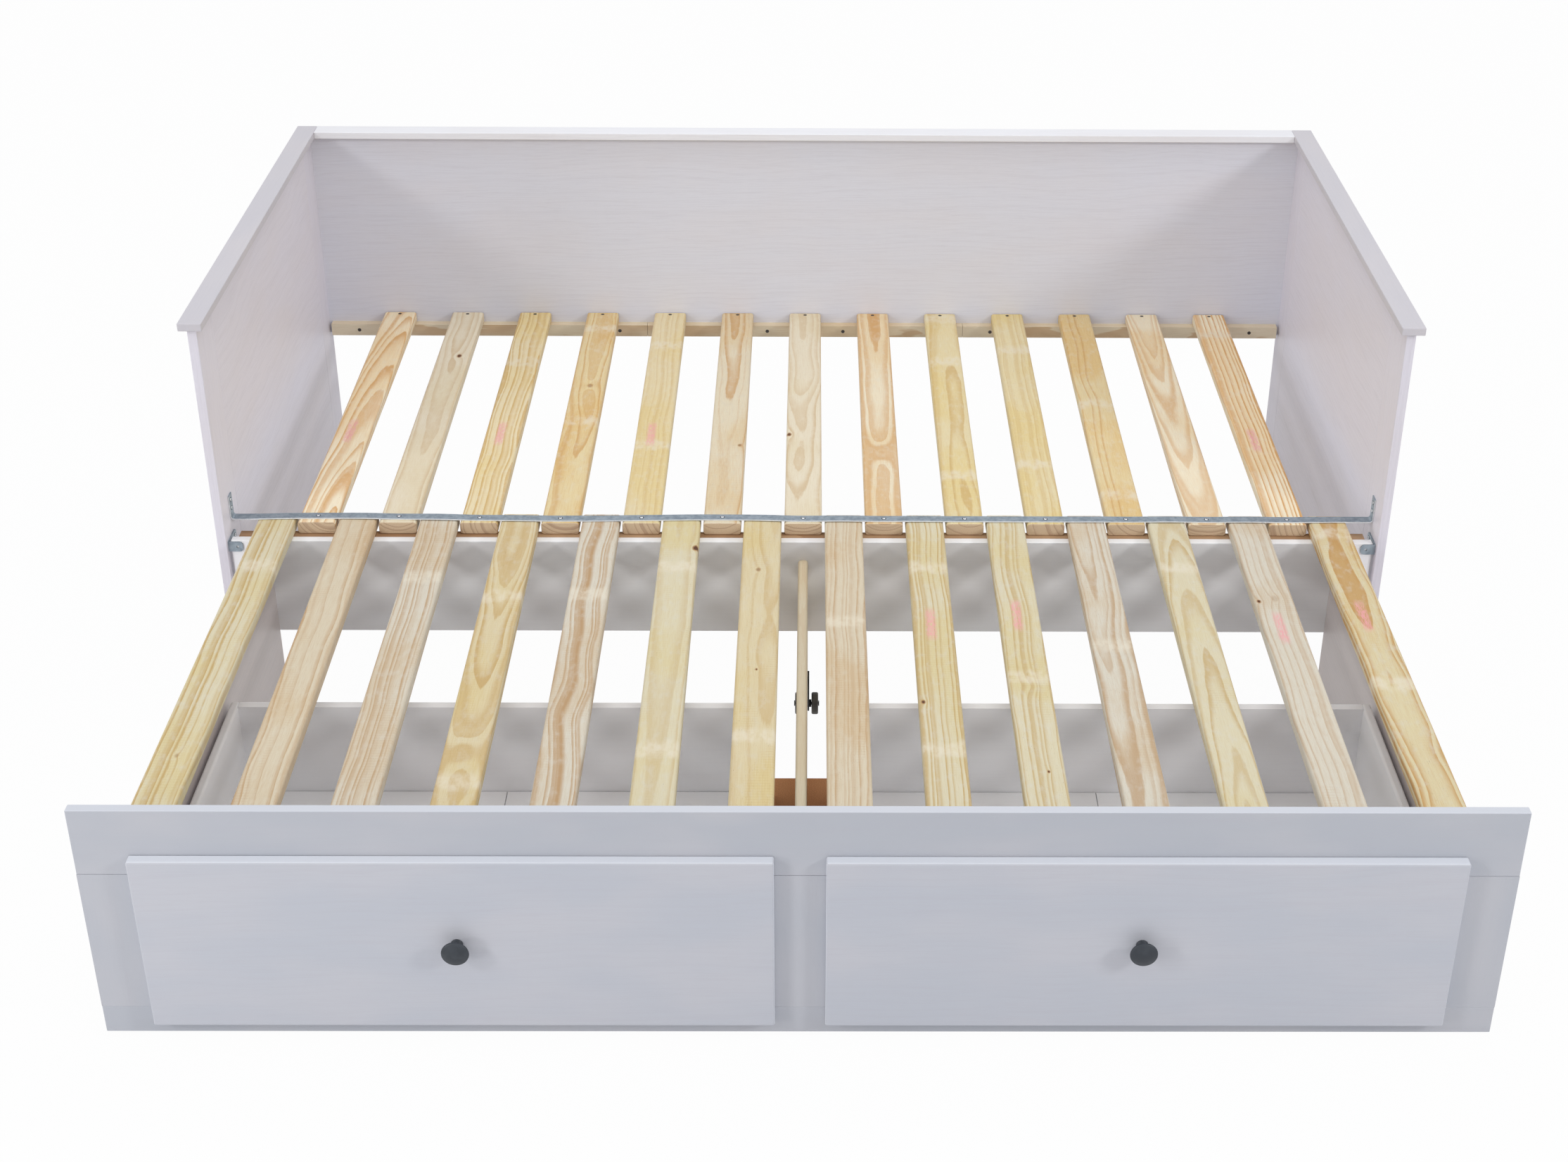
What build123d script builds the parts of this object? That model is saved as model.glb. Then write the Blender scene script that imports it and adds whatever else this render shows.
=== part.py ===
from build123d import *
import os

# Trundle bed: a day bed with a back and two ends, and a pull-out half on wheels that holds two
# drawers and a second set of slats. The pull-out half is modelled drawn out to its stops.
#
# Sizes are in millimetres. X runs along the bed and Z up from the floor. Inside this file Y is
# counted from the back panel's front face, so the bed reaches towards -Y; every sub-part is
# moved to the middle of the whole bed's depth as it is written.

# ---- fixed half ----
clear_length = 2010.0      # between the end panels
bay_depth = 972.0          # back panel's front face to the end panels' front edges
board = 16.0               # thickness of every glazed board
cap_top = 761.0            # height of the caps over the floor
cap_width = 40.0
cap_thick = 14.0
cap_inner_lip = 14.0       # side cap's overhang inside its end panel
cap_front_lip = 18.0       # side cap's overhang in front of its end panel
front_stile = 100.0        # end panel's front upright board
rear_stile = 91.0          # end panel's rear upright board
deck_height = 361.0        # top of the fixed slats
ledger_depth = 18.0
ledger_height = 25.0
ledger_end_gap = 6.0       # between the ledger and an end panel
ledger_joint = 0.6         # saw gap between two lengths of ledger
ledger_lengths = 3

# ---- slats ----
slat_width = 66.0
slat_thick = 22.0
slat_end_gap = 47.0        # end panel to the nearest slat, one of the pull-out's
slat_round = 5.0           # long edges
slat_end_round = 1.2
fixed_slats = 13
fixed_slat_rear_gap = 2.0  # to the back panel
fixed_slat_set_back = 36.0 # front ends behind the end panels' front edges
moving_slat_lap = 5.5      # rear ends behind the tie bar

# ---- tie bar over the fixed slats ----
bar_width = 20.0
bar_thick = 2.0
bar_set_back = 8.5         # behind the fixed slats' front ends
bar_upturn = 45.0          # height of its turned-up ends over the slats
bar_bend = 3.0             # inside radius of the two bends
bar_hole_heights = (19.0, 35.0)

# ---- pull-out half ----
rail_parked = 87.5         # its rear rail's front face to the back panel when pushed in
rail_set_back = 10.0       # the same face behind the end panels' front edges when drawn out
slide_gap = 0.5            # between the pull-out's tops and the fixed slats
rail_height = 182.5        # rear board of the pull-out
rail_end_gap = 5.0         # to each end panel
cleat_depth = 20.0
cleat_height = 22.0
cleat_end_gap = 16.0       # rear cleat's end to an end panel
side_margin = 55.0         # end panel to the pull-out's side panel
centre_thick = 17.0
centre_top = 304.0
front_bottom = 10.0        # front panel over the floor
front_top = 407.0
bottom_rail = 48.0
top_rail = 110.0
centre_stile = 88.0
edge_round = 1.5           # eased edges of the glazed boards
seam_chamfer = 0.8         # broken upright edges of an end panel's three boards

# ---- stop brackets ----
bracket_thick = 2.0
bracket_height = 19.0
bracket_tab = 26.0
bracket_leg = 54.0
bracket_drop = 1.5         # its top under the rail's top
bracket_hole = 5.0
bracket_gap = 0.5          # to the rail that it stops

# ---- drawers ----
drawer_front = 19.0
front_overlap_top = 35.0
front_overlap_bottom = 21.0
front_overlap_outer = 9.0
front_overlap_inner = 7.0
drawer_side = 15.0
drawer_depth = 528.0
drawer_height = 183.0
drawer_rise = 4.0          # box over the front panel's bottom rail
drawer_outer_gap = 6.0
drawer_inner_gap = 3.0
bottom_thick = 8.0
bottom_rise = 10.0         # drawer bottom over the sides' lower edges
bottom_joint = 1.6         # gap between the bottom's two boards
bottom_rear_gap = 1.5      # gap from the bottom to the box's back
glide_gap = 0.3            # drawer box over its runner plates
knob_disc = 40.0
knob_disc_thick = 6.0
knob_stem = 14.0
knob_foot = 22.0
knob_flange = 1.5
knob_proud = 28.0
knob_rise = 4.5            # over the middle of its opening and overlaps

# ---- runner plates and wheels ----
plate_thick = 12.0
plate_length = 562.0
side_plate = 44.0
centre_plate = 150.0
wheel_diameter = 40.0
wheel_width = 12.0
wheel_round = 3.0
wheel_half_gap = 8.8       # wheel's inner face to the middle of its bracket
axle = 6.0
axle_fit = 0.05            # radial clearance in the wheels
axle_head = 10.0
axle_head_thick = 1.5
axle_play = 0.3
overrun = 1.0              # how far a cut for a hole starts before its face
hub = 14.0
web = 3.0                  # bracket's sheet
rear_wheel_set_back = 26.0     # rear axle in front of the rail
front_wheel_set_back = 60.0    # front axle behind the front panel
side_caster_inset = 1.7    # bracket's middle from the board's face
web_reach = 18.3           # rear bracket's sheet over the board's lower edge
mounting_plate = 40.0      # front bracket's top plate

# ---- screws ----
screw_head = 7.5
screw_shank = 3.6
screw_length = 14.0
ledger_screw_inset = 58.0
ledger_inner_screw = 80.0  # from the bed's middle
slat_screw_inset = 9.0     # from a slat's rear end
bar_screw_head = 6.0

# ---- places worked out from the sizes above ----
half_clear = clear_length / 2
half_outer = half_clear + board
moving_slats = fixed_slats + 1
slat_pitch = (clear_length - 2 * slat_end_gap - slat_width) / (moving_slats - 1)
panel_top = cap_top - cap_thick
slat_under = deck_height - slat_thick
fixed_rear = -fixed_slat_rear_gap
fixed_front = fixed_slat_set_back - bay_depth
bar_front = fixed_front + bar_set_back
bar_rear = bar_front + bar_width

pull_top = slat_under - slide_gap
rail_front = rail_set_back - bay_depth
travel = -rail_parked - rail_front
front_rear_face = -bay_depth - travel - slide_gap
front_face = front_rear_face - board
moving_front = front_rear_face + slide_gap
moving_rear = bar_rear + moving_slat_lap
rail_rear = rail_front + board
rail_bottom = pull_top - rail_height
half_rail = half_clear - rail_end_gap
side_outer = half_clear - side_margin
side_inner = side_outer - board
front_opening_low = front_bottom + bottom_rail
front_opening_high = front_top - top_rail
box_low = front_opening_low + drawer_rise
box_high = box_low + drawer_height
boards_low = box_low - glide_gap
box_outer = side_inner - drawer_outer_gap
box_inner = centre_stile / 2 + drawer_inner_gap
box_rear = front_face + drawer_depth
overlay_outer = side_inner + front_overlap_outer
overlay_inner = centre_stile / 2 - front_overlap_inner
overlay_low = front_opening_low - front_overlap_bottom
overlay_high = front_opening_high + front_overlap_top
overlay_face = front_face - drawer_front
plate_rear = front_rear_face + plate_length
knob_height = (overlay_low + overlay_high) / 2 + knob_rise
box_middle = (box_outer + box_inner) / 2

# The origin stands on the floor under the middle of the whole bed.
middle_y = (board + overlay_face - knob_proud) / 2

LEFT = -1
RIGHT = 1


def span(x, y, z):
    """A square-edged board between its limits along X, Y and Z."""
    limits = [sorted(pair) for pair in (x, y, z)]
    middle = [(low + high) / 2 for low, high in limits]
    sizes = [high - low for low, high in limits]
    return Pos(*middle) * Box(*sizes)


def eased(solid, radius=edge_round):
    """The same board with every edge rounded over."""
    return fillet(solid.edges(), radius)


def rod(start, end, diameter):
    """A round bar from one point to another."""
    line = Vector(*end) - Vector(*start)
    return Plane(origin=start, z_dir=line) * Cylinder(
        diameter / 2, line.length, align=(Align.CENTER, Align.CENTER, Align.MIN)
    )


def save(name, *solids):
    """Write one sub-part, moved to the middle of the bed's depth."""
    placed = [Pos(0, -middle_y, 0) * solid for solid in solids]
    shape = placed[0] if len(placed) == 1 else Compound(placed)
    export_step(shape, f"parts/{name}.step")


def screw(point, direction, head=screw_head, length=screw_length):
    """A countersunk screw whose flat head lies flush at the point, driven along the direction."""
    cone = (head - screw_shank) / 2
    outline = Polyline(
        (0, 0), (head / 2, 0), (screw_shank / 2, cone), (screw_shank / 2, length), (0, length), close=True
    )
    body = revolve(Plane.XZ * make_face(outline), Axis.Z)
    return Plane(origin=point, z_dir=direction) * body


def cut(solid, tools):
    """The solid with a seat for each tool that reaches into it."""
    for tool in tools:
        solid = solid - tool
    return solid


# ---- end panels: front stile, middle board and rear stile, butted edge to edge ----
def end_panel(side):
    inner = side * half_clear
    outer = side * half_outer
    seams = (-bay_depth, front_stile - bay_depth, board - rear_stile, board)
    boards = [span((inner, outer), limits, (0, panel_top)) for limits in zip(seams, seams[1:])]
    return [chamfer(piece.edges().filter_by(Axis.Z), seam_chamfer) for piece in boards]


def side_cap(side):
    inner = side * (half_clear - cap_inner_lip)
    outer = inner + side * cap_width
    cap = span((inner, outer), (-bay_depth - cap_front_lip, board), (panel_top, cap_top))
    return eased(cap)


def back_cap():
    half = half_clear - cap_inner_lip
    return eased(span((-half, half), (board - cap_width, board), (panel_top, cap_top)))


def back_panel():
    low = slat_under - ledger_height
    return span((-half_clear, half_clear), (0, board), (low, panel_top))


# ---- rear ledger in three lengths ----
def ledger_ends():
    half = half_clear - ledger_end_gap
    step = (2 * half + ledger_joint) / ledger_lengths
    starts = [-half + step * number for number in range(ledger_lengths)]
    return [(start, start + step - ledger_joint) for start in starts]


def ledger_boards():
    low = slat_under - ledger_height
    return [span(ends, (-ledger_depth, 0), (low, slat_under)) for ends in ledger_ends()]


def ledger_screws():
    places = [-ledger_inner_screw, ledger_inner_screw]
    for start, end in ledger_ends():
        places += [start + ledger_screw_inset, end - ledger_screw_inset]
    height = slat_under - ledger_height / 2
    length = ledger_depth + board / 2
    return [screw((x, -ledger_depth, height), (0, 1, 0), length=length) for x in places]


# ---- slats ----
def slat(x, front, rear, low):
    bar = span((x - slat_width / 2, x + slat_width / 2), (front, rear), (low, low + slat_thick))
    bar = fillet(bar.edges().filter_by(Axis.Y), slat_round)
    ends = bar.faces().filter_by(Axis.Y).edges()
    return fillet(ends, slat_end_round)


def slat_places(count):
    return [(number - (count - 1) / 2) * slat_pitch for number in range(count)]


def slat_screw(x):
    place = (x, fixed_rear - slat_screw_inset, deck_height)
    return screw(place, (0, 0, -1), length=slat_thick + ledger_height / 3)


def bar_screw(x):
    middle = (bar_front + bar_rear) / 2
    return screw((x, middle, deck_height + bar_thick), (0, 0, -1), head=bar_screw_head)


# ---- tie bar: a flat strip over the fixed slats, turned up against the end panels ----
def bar_end_screws(side):
    middle = (bar_front + bar_rear) / 2
    face = side * (half_clear - bar_thick)
    return [
        screw((face, middle, deck_height + height), (side, 0, 0), head=bar_screw_head)
        for height in bar_hole_heights
    ]


def tie_bar():
    top = deck_height + bar_thick
    tip = deck_height + bar_upturn
    inside = half_clear - bar_thick
    outline = Polyline(
        (-half_clear, tip), (-half_clear, deck_height), (half_clear, deck_height), (half_clear, tip),
        (inside, tip), (inside, top), (-inside, top), (-inside, tip), close=True,
    )
    strip = extrude(Plane.XZ * make_face(outline), bar_width / 2, both=True)
    strip = Pos(0, (bar_front + bar_rear) / 2, 0) * strip
    strip = fillet(strip.edges().filter_by(Axis.Y).filter_by_position(Axis.Z, top, top), bar_bend)
    outer_bends = strip.edges().filter_by(Axis.Y).filter_by_position(Axis.Z, deck_height, deck_height)
    return fillet(outer_bends, bar_bend + bar_thick)


# ---- stop brackets: a leg on the end panel and a tab in front of the rail's end ----
def bracket_screw(side):
    high = pull_top - bracket_drop
    leg_rear = rail_front - bracket_gap - bracket_thick + bracket_leg
    place = (side * (half_clear - bracket_thick), leg_rear - bracket_height / 2, high - bracket_height / 2)
    return screw(place, (side, 0, 0), head=bar_screw_head)


def stop_bracket(side):
    inner = side * half_clear
    face = inner - side * bracket_thick
    tip = inner - side * bracket_tab
    high = pull_top - bracket_drop
    low = high - bracket_height
    tab_rear = rail_front - bracket_gap
    tab_front = tab_rear - bracket_thick
    leg_rear = tab_front + bracket_leg
    leg = span((inner, face), (tab_front, leg_rear), (low, high))
    tab = span((inner, tip), (tab_front, tab_rear), (low, high))
    leg_corners = leg.edges().filter_by(Axis.X).sort_by(Axis.Y)[-2:]
    leg = fillet(leg_corners, bracket_height * 0.45)
    tab_corners = tab.edges().filter_by(Axis.Y).sort_by(Axis.X)
    tab_corners = tab_corners[:2] if side > 0 else tab_corners[-2:]
    tab = fillet(tab_corners, bracket_height * 0.35)
    middle = (low + high) / 2
    hole_x = tip + side * bracket_height / 2
    hole = rod((hole_x, tab_front - overrun, middle), (hole_x, tab_rear + overrun, middle), bracket_hole)
    return leg + (tab - hole)


# ---- pull-out half: rear rail, cleats, sides, centre board and front panel ----
def rear_rail():
    return eased(span((-half_rail, half_rail), (rail_front, rail_rear), (rail_bottom, pull_top)))


def cleats():
    half_rear = half_clear - cleat_end_gap
    low = pull_top - cleat_height
    rear = span((-half_rear, half_rear), (rail_rear, rail_rear + cleat_depth), (low, pull_top))
    front_span = (front_rear_face, front_rear_face + cleat_depth)
    front = span((-side_inner, side_inner), front_span, (low, pull_top))
    return [rear, front]


def side_panel(side):
    return span((side * side_inner, side * side_outer), (front_rear_face, rail_front), (boards_low, pull_top))


def centre_board():
    half = centre_thick / 2
    body = span((-half, half), (front_rear_face, rail_front), (boards_low, centre_top))
    top = body.edges().filter_by(Axis.Y).sort_by(Axis.Z)[-2:]
    body = fillet(top, slat_round)
    rear_top = body.faces().sort_by(Axis.Y)[-1].edges().sort_by(Axis.Z)[-1]
    return fillet(rear_top, slat_round)


def front_top_rail():
    limits = (front_opening_high, front_top)
    return eased(span((-half_outer, half_outer), (front_face, front_rear_face), limits))


def front_bottom_rail():
    limits = (front_bottom, front_opening_low)
    return eased(span((-half_outer, half_outer), (front_face, front_rear_face), limits))


def front_stiles():
    depth = (front_face, front_rear_face)
    height = (front_opening_low, front_opening_high)
    half = centre_stile / 2
    across = ((-half_outer, -side_inner), (-half, half), (side_inner, half_outer))
    return [span(limits, depth, height) for limits in across]


def runner_plates():
    depth = (front_rear_face, plate_rear)
    height = (boards_low - plate_thick, boards_low)
    half = centre_plate / 2
    inner = side_outer - side_plate
    across = ((-side_outer, -inner), (-half, half), (inner, side_outer))
    return [span(limits, depth, height) for limits in across]


# ---- drawers ----
def drawer_face(side):
    across = (side * overlay_inner, side * overlay_outer)
    return eased(span(across, (overlay_face, front_face), (overlay_low, overlay_high)), 2 * edge_round)


def drawer_box(side):
    depth = (front_face, box_rear)
    height = (box_low, box_high)
    inside = (box_inner + drawer_side, box_outer - drawer_side)
    sides = [
        span((side * box_inner, side * inside[0]), depth, height),
        span((side * inside[1], side * box_outer), depth, height),
    ]
    sides = [fillet(piece.edges().filter_by(Axis.Y).sort_by(Axis.Z)[-2:], 3 * edge_round) for piece in sides]
    inner_width = (side * inside[0], side * inside[1])
    back = span(inner_width, (box_rear - drawer_side, box_rear), height)
    floor_depth = (front_face, box_rear - drawer_side - bottom_rear_gap)
    floor_height = (box_low + bottom_rise, box_low + bottom_rise + bottom_thick)
    joint = bottom_joint / 2
    floors = [
        span((side * inside[0], side * (box_middle - joint)), floor_depth, floor_height),
        span((side * (box_middle + joint), side * inside[1]), floor_depth, floor_height),
    ]
    return sides + [back] + floors


def knob(side):
    """A mushroom knob: a foot on the drawer front, a waisted stem and a slightly domed disc."""
    stem_end = knob_proud - knob_disc_thick
    foot = knob_foot / 2
    stem = knob_stem / 2
    rim = knob_disc / 2
    shoulder = knob_disc_thick / 3
    dome_radius = (rim**2 + shoulder**2) / (2 * shoulder)
    half_way = knob_proud - dome_radius + (dome_radius**2 - rim**2 / 4) ** 0.5
    profile = [
        Line((0, 0), (foot, 0)),
        Line((foot, 0), (foot, knob_flange)),
        ThreePointArc((foot, knob_flange), (stem, stem_end / 2), (foot, stem_end)),
        Line((foot, stem_end), (rim, stem_end + shoulder)),
        Line((rim, stem_end + shoulder), (rim, knob_proud - shoulder)),
        ThreePointArc((rim, knob_proud - shoulder), (rim / 2, half_way), (0, knob_proud)),
        Line((0, knob_proud), (0, 0)),
    ]
    body = revolve(Plane.XZ * make_face(profile), Axis.Z)
    place = (side * (overlay_inner + overlay_outer) / 2, overlay_face, knob_height)
    return Plane(origin=place, z_dir=(0, -1, 0)) * body


# ---- wheels: each pair runs on one axle, one wheel at each side of its bracket ----
def wheel_pair(x, y):
    """Two wheels on one axle line, which turns along X."""
    height = wheel_diameter / 2
    wheels = []
    for way in (LEFT, RIGHT):
        near = x + way * wheel_half_gap
        tread = rod((near, y, height), (near + way * wheel_width, y, height), wheel_diameter)
        tread = fillet(tread.edges(), wheel_round)
        far = near + way * (wheel_width + overrun)
        bore = rod((near - way * overrun, y, height), (far, y, height), axle + 2 * axle_fit)
        wheels.append(tread - bore)
    return wheels


def axle_with_heads(x, y, hub_half):
    """Hub, axle and riveted heads of one bracket."""
    height = wheel_diameter / 2
    far = wheel_half_gap + wheel_width + axle_play
    body = rod((x - far, y, height), (x + far, y, height), axle)
    body += rod((x - hub_half, y, height), (x + hub_half, y, height), hub)
    for way in (LEFT, RIGHT):
        start = x + way * far
        body += rod((start, y, height), (start + way * axle_head_thick, y, height), axle_head)
    return body


def side_caster_place(face, way):
    """Middle of a bracket that is screwed to a board's face, which looks along way."""
    return face - way * side_caster_inset


def rear_bracket(face, way):
    """A flat sheet on the board's face, down to the axle."""
    x = side_caster_place(face, way)
    y = rail_front - rear_wheel_set_back
    height = wheel_diameter / 2
    half = hub
    sheet = span((face, face + way * web), (y - half, y + half), (height, boards_low + web_reach))
    foot = rod((face, y, height), (face + way * web, y, height), 2 * half)
    return sheet + foot + axle_with_heads(x, y, wheel_half_gap - axle_play)


def front_bracket(x):
    """A top plate under the runner plate, and a web down to the axle."""
    y = front_rear_face + front_wheel_set_back
    top = boards_low - plate_thick
    half = mounting_plate / 2
    height = wheel_diameter / 2
    plate = span((x - half, x + half), (y - half, y + half), (top - web, top))
    sheet = span((x - web / 2, x + web / 2), (y - hub, y + hub), (height, top - web))
    foot = rod((x - web / 2, y, height), (x + web / 2, y, height), 2 * hub)
    return plate + sheet + foot + axle_with_heads(x, y, wheel_half_gap - axle_play)


centre_face = centre_thick / 2
board_faces = {"left": (-side_outer, LEFT), "centre": (centre_face, RIGHT), "right": (side_outer, RIGHT)}
front_caster_x = {"left": -(side_outer - side_plate / 2), "centre": 0.0, "right": side_outer - side_plate / 2}
front_wheel_y = front_rear_face + front_wheel_set_back
rear_wheel_y = rail_front - rear_wheel_set_back

os.makedirs("parts", exist_ok=True)

# Screws first, because the pieces that they hold are cut for them.
fixed_places = slat_places(fixed_slats)
slat_screws = [slat_screw(x) for x in fixed_places]
strip_screws = [bar_screw(x) for x in fixed_places]
wall_screws = [screw_ for side in (LEFT, RIGHT) for screw_ in bar_end_screws(side) + [bracket_screw(side)]]
beam_screws = ledger_screws()
save("dark_screws", *slat_screws, *beam_screws)
save("zinc_screws", *strip_screws, *wall_screws)

# fixed half
for side, word in ((LEFT, "left"), (RIGHT, "right")):
    near = [tool for tool in wall_screws if tool.center().X * side > 0]
    save(f"{word}_end_panel", *[cut(piece, near) for piece in end_panel(side)])
    save(f"{word}_cap", side_cap(side))
save("back_cap", back_cap())
save("back_panel", cut(back_panel(), beam_screws))
save("rear_ledger", *[cut(length, slat_screws + beam_screws) for length in ledger_boards()])
for number, x in enumerate(fixed_places, start=1):
    plank = slat(x, fixed_front, fixed_rear, slat_under)
    save(f"fixed_slat_{number:02d}", cut(plank, [slat_screws[number - 1], strip_screws[number - 1]]))
save("tie_bar", cut(tie_bar(), strip_screws + wall_screws))
save("stop_brackets", *[cut(stop_bracket(side), wall_screws) for side in (LEFT, RIGHT)])

# pull-out half
for number, x in enumerate(slat_places(moving_slats), start=1):
    save(f"moving_slat_{number:02d}", slat(x, moving_front, moving_rear, pull_top))
save("rear_rail", rear_rail())
save("slat_cleats", *cleats())
save("left_side_panel", side_panel(LEFT))
save("right_side_panel", side_panel(RIGHT))
save("centre_board", centre_board())
save("front_top_rail", front_top_rail())
save("front_bottom_rail", front_bottom_rail())
save("front_stiles", *front_stiles())
save("runner_plates", *runner_plates())
rear_brackets = [rear_bracket(face, way) for face, way in board_faces.values()]
front_brackets = [front_bracket(x) for x in front_caster_x.values()]
save("wheel_brackets", *rear_brackets, *front_brackets)
for word, (face, way) in board_faces.items():
    save(f"{word}_rear_wheels", *wheel_pair(side_caster_place(face, way), rear_wheel_y))
    save(f"{word}_front_wheels", *wheel_pair(front_caster_x[word], front_wheel_y))

# drawers
for side, word in ((LEFT, "left"), (RIGHT, "right")):
    save(f"{word}_drawer_front", drawer_face(side))
    save(f"{word}_drawer_box", *drawer_box(side))
    save(f"{word}_knob", knob(side))

print("middle of the depth", round(middle_y, 2), "travel", round(travel, 2))
print("rear axles y", round(rear_wheel_y - middle_y, 2), "front axles y", round(front_wheel_y - middle_y, 2))
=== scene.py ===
import math

import bmesh
import bpy
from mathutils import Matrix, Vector


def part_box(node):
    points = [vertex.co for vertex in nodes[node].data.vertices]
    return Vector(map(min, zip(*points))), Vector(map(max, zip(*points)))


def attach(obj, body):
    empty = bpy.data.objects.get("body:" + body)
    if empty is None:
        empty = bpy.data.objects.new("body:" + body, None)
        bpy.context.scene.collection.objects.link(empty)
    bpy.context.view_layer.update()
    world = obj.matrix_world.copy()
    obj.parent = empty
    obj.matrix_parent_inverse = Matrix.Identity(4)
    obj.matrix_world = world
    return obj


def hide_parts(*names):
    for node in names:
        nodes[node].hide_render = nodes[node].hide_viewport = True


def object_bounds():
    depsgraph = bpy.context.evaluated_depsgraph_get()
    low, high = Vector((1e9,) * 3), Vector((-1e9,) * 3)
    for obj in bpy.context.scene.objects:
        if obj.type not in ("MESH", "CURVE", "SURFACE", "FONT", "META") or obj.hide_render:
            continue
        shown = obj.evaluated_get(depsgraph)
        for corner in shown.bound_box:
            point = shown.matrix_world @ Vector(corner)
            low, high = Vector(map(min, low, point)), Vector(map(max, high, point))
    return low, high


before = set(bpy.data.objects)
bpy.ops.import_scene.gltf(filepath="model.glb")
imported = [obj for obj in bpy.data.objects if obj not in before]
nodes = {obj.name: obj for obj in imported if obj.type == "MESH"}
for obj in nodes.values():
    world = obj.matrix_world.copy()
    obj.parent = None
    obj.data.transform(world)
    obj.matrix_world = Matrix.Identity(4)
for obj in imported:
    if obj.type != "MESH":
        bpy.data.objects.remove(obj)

cad_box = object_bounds()
MM = 0.001
METRE = 1000.0    # mm


# ---------------------------------------------------------------- shader tools

class Flow:
    """A number that changes over a surface. Sums and products of flows add Math nodes."""

    def __init__(self, owner, socket):
        self.owner = owner
        self.socket = socket

    def maths(self, operation, first, second):
        return self.owner.maths(operation, first, second)

    def __add__(self, other):
        return self.maths("ADD", self, other)

    __radd__ = __add__

    def __sub__(self, other):
        return self.maths("SUBTRACT", self, other)

    def __rsub__(self, other):
        return self.maths("SUBTRACT", other, self)

    def __mul__(self, other):
        return self.maths("MULTIPLY", self, other)

    __rmul__ = __mul__

    def __truediv__(self, other):
        return self.maths("DIVIDE", self, other)

    def __rtruediv__(self, other):
        return self.maths("DIVIDE", other, self)

    def __pow__(self, power):
        return self.maths("POWER", self, power)


class ShaderTree:
    """The nodes of a material or of the room's light, and one way to add any of them."""

    def __init__(self, tree):
        self.tree = tree

    def node(self, kind, settings, sockets, output=0):
        made = self.tree.nodes.new("ShaderNode" + kind)
        for name, value in settings.items():
            setattr(made, name, value)
        for name, value in sockets.items():
            if isinstance(value, Flow):
                self.tree.links.new(value.socket, made.inputs[name])
            else:
                made.inputs[name].default_value = value
        return Flow(self, made.outputs[output])

    def maths(self, operation, first, second=0.0):
        return self.node("Math", {"operation": operation}, {0: first, 1: second})

    def place(self):
        """The three coordinates of a point, in mm."""
        there = self.node("TexCoord", {}, {}, "Object")
        return [self.node("SeparateXYZ", {}, {0: there}, axis) * METRE for axis in "XYZ"]

    def join(self, x, y, z):
        return self.node("CombineXYZ", {}, {0: x, 1: y, 2: z})

    def noise(self, x, y, z, detail=2.0, rough=0.5):
        sockets = {"Vector": self.join(x, y, z), "Scale": 1.0, "Detail": detail, "Roughness": rough}
        return self.node("TexNoise", {}, sockets)

    def noises(self, x, y, z):
        """Three separate noises, each from about -0.5 to 0.5."""
        sockets = {"Vector": self.join(x, y, z), "Scale": 1.0, "Detail": 1.0}
        colour = self.node("TexNoise", {}, sockets, 1)
        return [self.node("SeparateXYZ", {}, {0: colour}, axis) - 0.5 for axis in "XYZ"]

    def step(self, value, low, high):
        """0 below low, 1 above high, smooth between; low may be the larger."""
        sockets = {"Value": value, "From Min": low, "From Max": high}
        return self.node("MapRange", {"interpolation_type": "SMOOTHSTEP"}, sockets)

    def mix(self, factor, first, second, way="MIX"):
        sockets = {0: factor, 6: first, 7: second}
        return self.node("Mix", {"data_type": "RGBA", "blend_type": way}, sockets, 2)

    def seen(self):
        """1 for what is looked at, straight or in a polished surface, and 0 for the light that falls."""
        straight = self.node("LightPath", {}, {}, "Is Camera Ray")
        mirrored = self.node("LightPath", {}, {}, "Is Glossy Ray")
        return self.maths("MAXIMUM", straight, mirrored)


class Finish(ShaderTree):
    """A material: its shader's own constants, and the flows that feed the rest."""

    def __init__(self, name, **constants):
        self.material = bpy.data.materials.new(name)
        self.material.use_nodes = True
        super().__init__(self.material.node_tree)
        self.shader = self.tree.nodes["Principled BSDF"]
        for socket, value in constants.items():
            self.shader.inputs[socket.replace("_", " ")].default_value = value

    def feed(self, colour, roughness, height, depth):
        """Links the finish to its shader; depth is the bump's, in metres."""
        bump = self.node("Bump", {}, {"Strength": 1.0, "Distance": depth, "Height": height})
        for socket, flow in (("Base Color", colour), ("Roughness", roughness), ("Normal", bump)):
            self.tree.links.new(flow.socket, self.shader.inputs[socket])
        return self.material


def paint(red, green, blue):
    """A colour written as it looks, 0 to 255, turned into light."""
    parts = [part / 255 for part in (red, green, blue)]
    parts = [part / 12.92 if part < 0.04045 else ((part + 0.055) / 1.055) ** 2.4 for part in parts]
    return (*parts, 1.0)


def dress(material, *names):
    for name in names:
        slots = nodes[name].data.materials
        slots.clear()
        slots.append(material)


# ---------------------------------------------------------------- bare pine

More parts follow.
